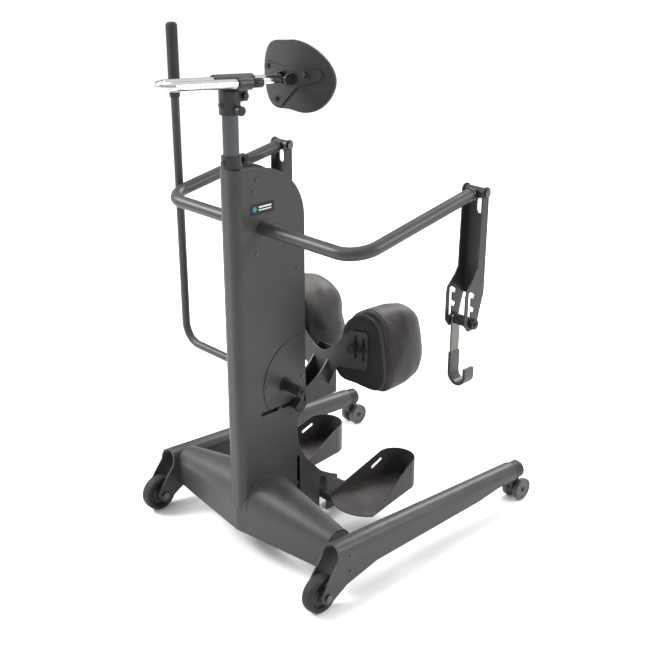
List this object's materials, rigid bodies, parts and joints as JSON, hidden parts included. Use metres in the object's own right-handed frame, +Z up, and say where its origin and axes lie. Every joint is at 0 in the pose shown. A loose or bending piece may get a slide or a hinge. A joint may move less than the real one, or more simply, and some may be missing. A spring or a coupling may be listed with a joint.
{
  "type": "sit to stand lift",
  "caption": "Hand-pumped sit-to-stand lift: wheeled base with two legs, mast with raising arms and strap hooks, chest pad, knee pads and foot trays.",
  "frame": {"origin": "on the floor under the middle of the lift", "axes": "+X to the operator's right, +Y from the mast towards the user, +Z up"},
  "size_m": [0.79, 0.9873, 1.322],
  "materials": {
    "grey_coat": "satin",
    "dark_cover": "satin",
    "charcoal_coat": "satin",
    "black_plastic": "satin",
    "gunmetal": "satin",
    "chrome": "polished",
    "screw_steel": "satin",
    "bare_steel": "satin",
    "tyre_black": "matte",
    "caster_grey": "satin",
    "shell_plastic": "textured",
    "pad_vinyl": "soft sheen",
    "grip_foam": "matte",
    "label_black": "gloss"
  },
  "bodies": {
    "frame": {"mast_shell": "grey_coat", "mast_front_cover": "dark_cover", "crossbeam_left": "grey_coat", "crossbeam_right": "grey_coat", "leg_left": "grey_coat", "leg_right": "grey_coat", "leg_insert_left": "black_plastic", "leg_insert_right": "black_plastic", "rear_axles": "screw_steel", "frame_screws": "screw_steel", "label_plate": "label_black", "post_collar": "black_plastic", "pump_cover": "grey_coat", "pump_bush": "black_plastic", "lift_cylinder": "bare_steel", "pump_block": "bare_steel"},
    "rear_wheel_left": {"rear_wheel_left": "tyre_black"},
    "rear_wheel_right": {"rear_wheel_right": "tyre_black"},
    "caster_left": {"caster_fork_left": "caster_grey"},
    "caster_right": {"caster_fork_right": "caster_grey"},
    "caster_wheels_left": {"caster_wheels_left": "caster_grey"},
    "caster_wheels_right": {"caster_wheels_right": "caster_grey"},
    "collar_lever": {"collar_lever": "black_plastic"},
    "arms": {"arm_left": "grey_coat", "arm_right": "grey_coat", "arm_shaft": "bare_steel", "arm_crank": "bare_steel", "arm_fork_left": "charcoal_coat", "arm_fork_right": "charcoal_coat", "arm_bolts": "screw_steel"},
    "ram": {"ram_rod": "bare_steel"},
    "hanger_left": {"hanger_left": "charcoal_coat"},
    "hanger_right": {"hanger_right": "charcoal_coat"},
    "hook_left": {"strap_bar_left": "black_plastic", "strap_hook_left": "gunmetal"},
    "hook_right": {"strap_bar_right": "black_plastic", "strap_hook_right": "gunmetal"},
    "pump_handle": {"pump_handle": "grey_coat", "pump_grip": "grip_foam", "pump_crank": "bare_steel"},
    "piston": {"pump_piston": "bare_steel"},
    "post": {"post": "gunmetal", "head_clamp": "black_plastic", "head_tee": "black_plastic"},
    "head_knob": {"head_knob": "black_plastic"},
    "chest_bar": {"chest_bar": "chrome"},
    "chest_pad": {"chest_bracket": "grey_coat", "chest_shell": "shell_plastic", "chest_cushion": "pad_vinyl"},
    "knee_support": {"knee_carriage": "grey_coat", "knee_saddle": "grey_coat"},
    "knee_knob": {"knee_knob": "black_plastic"},
    "knee_pad_left": {"knee_pad_left": "pad_vinyl", "knee_back_left": "black_plastic"},
    "knee_pad_right": {"knee_pad_right": "pad_vinyl", "knee_back_right": "black_plastic"},
    "foot_support": {"foot_carriage": "grey_coat", "foot_tray_left": "grey_coat", "foot_tray_right": "grey_coat"},
    "foot_knob": {"foot_knob": "black_plastic"}
  },
  "joints": [
    {"name": "wheel_spin_right", "type": "hinge", "parent": "frame", "child": "rear_wheel_right", "pos_m": [0.33, -0.3173, 0.05], "axis": [1, 0, 0], "continuous": true},
    {"name": "caster_swivel_right", "type": "hinge", "parent": "frame", "child": "caster_right", "pos_m": [0.33, 0.4397, 0.08], "axis": [0, 0, 1], "continuous": true},
    {"name": "caster_spin_right", "type": "hinge", "parent": "caster_right", "child": "caster_wheels_right", "pos_m": [0.33, 0.4617, 0.032], "axis": [1, 0, 0], "continuous": true},
    {"name": "wheel_spin_left", "type": "hinge", "parent": "frame", "child": "rear_wheel_left", "pos_m": [-0.33, -0.3173, 0.05], "axis": [1, 0, 0], "continuous": true},
    {"name": "caster_swivel_left", "type": "hinge", "parent": "frame", "child": "caster_left", "pos_m": [-0.33, 0.4397, 0.08], "axis": [0, 0, 1], "continuous": true},
    {"name": "caster_spin_left", "type": "hinge", "parent": "caster_left", "child": "caster_wheels_left", "pos_m": [-0.33, 0.4617, 0.032], "axis": [1, 0, 0], "continuous": true},
    {"name": "collar_lever_turn", "type": "hinge", "parent": "frame", "child": "collar_lever", "pos_m": [0, -0.2508, 1.054], "axis": [1, 0, 0], "range_deg": [0, 90]},
    {"name": "post_height", "type": "slide", "parent": "frame", "child": "post", "axis": [0, 0, 1], "range_m": [-0.09, 0.15]},
    {"name": "head_knob_turn", "type": "hinge", "parent": "post", "child": "head_knob", "pos_m": [0, -0.2828, 1.174], "axis": [1, 0, 0], "range_deg": [0, 270]},
    {"name": "chest_reach", "type": "slide", "parent": "post", "child": "chest_bar", "axis": [0, 0.9969, -0.0785], "range_m": [-0.03, 0.12]},
    {"name": "chest_tilt", "type": "hinge", "parent": "chest_bar", "child": "chest_pad", "pos_m": [0, -0.12181, 1.22298], "axis": [1, 0, 0], "range_deg": [-15, 15]},
    {"name": "arm_lift", "type": "hinge", "parent": "frame", "child": "arms", "pos_m": [0, -0.2213, 0.886], "axis": [1, 0, 0], "range_deg": [-20, 30]},
    {"name": "ram_stroke", "type": "slide", "parent": "frame", "child": "ram", "axis": [0, 0, 1], "range_m": [-0.026, 0.038]},
    {"name": "hanger_swing_right", "type": "hinge", "parent": "arms", "child": "hanger_right", "pos_m": [0.35, 0.18117, 0.96423], "axis": [1, 0, 0], "range_deg": [-30, 45]},
    {"name": "hook_swing_right", "type": "hinge", "parent": "hanger_right", "child": "hook_right", "pos_m": [0.35, 0.15317, 0.63823], "axis": [-1, 0, 0], "range_deg": [-35, 35]},
    {"name": "hanger_swing_left", "type": "hinge", "parent": "arms", "child": "hanger_left", "pos_m": [-0.35, 0.18117, 0.96423], "axis": [1, 0, 0], "range_deg": [-30, 45]},
    {"name": "hook_swing_left", "type": "hinge", "parent": "hanger_left", "child": "hook_left", "pos_m": [-0.35, 0.15317, 0.63823], "axis": [-1, 0, 0], "range_deg": [-35, 35]},
    {"name": "pump_stroke", "type": "hinge", "parent": "frame", "child": "pump_handle", "pos_m": [0, -0.1573, 0.456], "axis": [-1, 0, 0], "range_deg": [-30, 5]},
    {"name": "piston_stroke", "type": "slide", "parent": "frame", "child": "piston", "axis": [0, 0, 1], "range_m": [-0.0265, 0.0053]},
    {"name": "knee_reach", "type": "slide", "parent": "frame", "child": "knee_support", "axis": [0, 1, 0], "range_m": [-0.05, 0.005]},
    {"name": "knee_knob_turn", "type": "hinge", "parent": "knee_support", "child": "knee_knob", "pos_m": [0, -0.1273, 0.395], "axis": [1, 0, 0], "range_deg": [0, 270]},
    {"name": "knee_height_right", "type": "slide", "parent": "knee_support", "child": "knee_pad_right", "axis": [0, 0, 1], "range_m": [-0.026, 0.026]},
    {"name": "knee_height_left", "type": "slide", "parent": "knee_support", "child": "knee_pad_left", "axis": [0, 0, 1], "range_m": [-0.026, 0.026]},
    {"name": "foot_height", "type": "slide", "parent": "frame", "child": "foot_support", "axis": [0, 0, 1], "range_m": [-0.045, 0.03]},
    {"name": "foot_knob_turn", "type": "hinge", "parent": "foot_support", "child": "foot_knob", "pos_m": [0, -0.1133, 0.15], "axis": [1, 0, 0], "range_deg": [0, 270]}
  ],
  "couplings": [
    {"joint": "ram_stroke", "follows": "arm_lift", "m_per_rad": 0.0685},
    {"joint": "piston_stroke", "follows": "pump_stroke", "m_per_rad": 0.0485}
  ]
}
